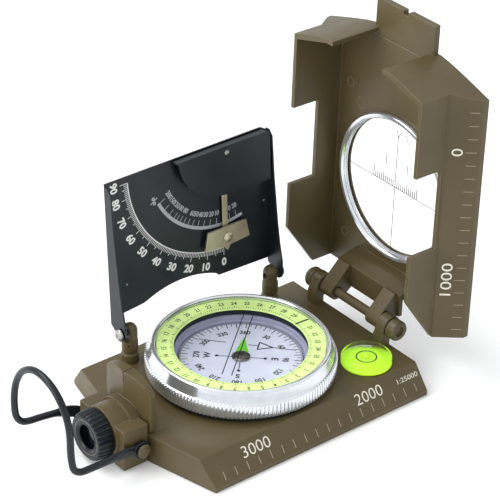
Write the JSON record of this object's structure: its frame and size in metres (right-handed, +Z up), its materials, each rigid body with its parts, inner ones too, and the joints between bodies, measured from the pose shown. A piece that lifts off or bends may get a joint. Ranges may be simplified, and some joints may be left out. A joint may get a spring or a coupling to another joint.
{
  "type": "geology compass",
  "caption": "Geology compass: cast base with knurled rotating bezel, liquid capsule and bubble level, hinged lid with reticle window, fold-up clinometer, eyepiece and thumb loop.",
  "frame": {"origin": "middle of the base's underside, on the resting plane, midway between its sides", "axes": "+Y is the sighting direction, from the eyepiece to the lid hinge; +X is the user's right, the side with the bubble level; +Z up"},
  "size_m": [0.0648, 0.1247, 0.1023],
  "materials": {
    "olive_paint": "olive-brown enamel, semi-gloss, on die-cast metal",
    "black_paint": "black satin enamel on sheet steel and turned parts",
    "black_wire": "black gloss-coated steel wire",
    "bright_metal": "polished, turned",
    "plain_steel": "plain",
    "brass": "turned",
    "fluorescent_green": "fluorescent yellow-green",
    "card_print": "printed card, pale lavender grey",
    "nickel": "satin nickel",
    "clear_plastic": "clear",
    "glass": "clear, polished"
  },
  "bodies": {
    "base": {"base_body": "olive_paint", "base_plate": "olive_paint", "base_screw_1": "plain_steel", "base_screw_2": "plain_steel", "base_screw_3": "plain_steel", "base_screw_4": "plain_steel", "tripod_bush": "brass", "housing_screw_1": "plain_steel", "housing_screw_2": "plain_steel", "capsule_cup": "clear_plastic", "capsule_cover": "glass", "pivot_pin": "plain_steel", "bearing_ring": "black_paint", "vial_base": "fluorescent_green", "vial_dome": "clear_plastic", "hinge_pin": "olive_paint", "hinge_nut": "olive_paint", "post_front": "olive_paint", "post_rear": "olive_paint", "fold_screw_front": "plain_steel", "fold_screw_rear": "plain_steel", "eyepiece_housing": "olive_paint", "loop_screw_left": "olive_paint", "loop_screw_right": "olive_paint"},
    "lid": {"lid_shell": "olive_paint", "window_ring": "bright_metal", "window_glass": "glass"},
    "clinometer": {"clino_plate": "black_paint", "clino_cover": "black_paint", "pendulum_pin": "plain_steel"},
    "pendulum": {"pendulum_needle": "nickel", "pendulum_weight": "nickel", "pendulum_rivet": "nickel"},
    "card": {"compass_card": "card_print", "card_magnet": "plain_steel", "pivot_cap": "plain_steel"},
    "bezel": {"bezel_ring": "bright_metal", "dial_ring": "fluorescent_green", "bezel_glass": "glass"},
    "knob": {"focus_knob": "black_paint"},
    "lens": {"lens_tube": "black_paint", "eye_lens": "glass", "field_lens": "glass"},
    "loop": {"thumb_loop": "black_wire"}
  },
  "joints": [
    {"name": "lid_hinge", "type": "hinge", "parent": "base", "child": "lid", "pos_m": [0, 0.0381, 0.01435], "axis": [-1, 0, 0], "range_deg": [-9, 88.5]},
    {"name": "clinometer_fold", "type": "hinge", "parent": "base", "child": "clinometer", "pos_m": [-0.0225, 0, 0.018], "axis": [0, 1, 0], "range_deg": [0, 93.2]},
    {"name": "pendulum_swing", "type": "hinge", "parent": "clinometer", "child": "pendulum", "pos_m": [-0.0249, 0.0116, 0.06093], "axis": [0.9984, 0, 0.0558], "range_deg": [-90, 12]},
    {"name": "card_spin", "type": "hinge", "parent": "base", "child": "card", "pos_m": [0, -0.0035, 0.0116], "axis": [0, 0, 1], "continuous": true},
    {"name": "bezel_turn", "type": "hinge", "parent": "base", "child": "bezel", "pos_m": [0, -0.0035, 0.0121], "axis": [0, 0, 1], "continuous": true},
    {"name": "focus_turn", "type": "hinge", "parent": "base", "child": "knob", "pos_m": [0, -0.0543, 0.0081], "axis": [0, 1, 0], "range_deg": [-150, 150]},
    {"name": "focus_slide", "type": "slide", "parent": "base", "child": "lens", "axis": [0, 1, 0], "range_m": [-0.001, 0.001]},
    {"name": "loop_fold", "type": "hinge", "parent": "base", "child": "loop", "pos_m": [0, -0.0461, 0.0061], "axis": [1, 0, 0], "range_deg": [-75, 100]}
  ],
  "couplings": [
    {"joint": "focus_slide", "follows": "focus_turn", "m_per_rad": 0.00038}
  ]
}
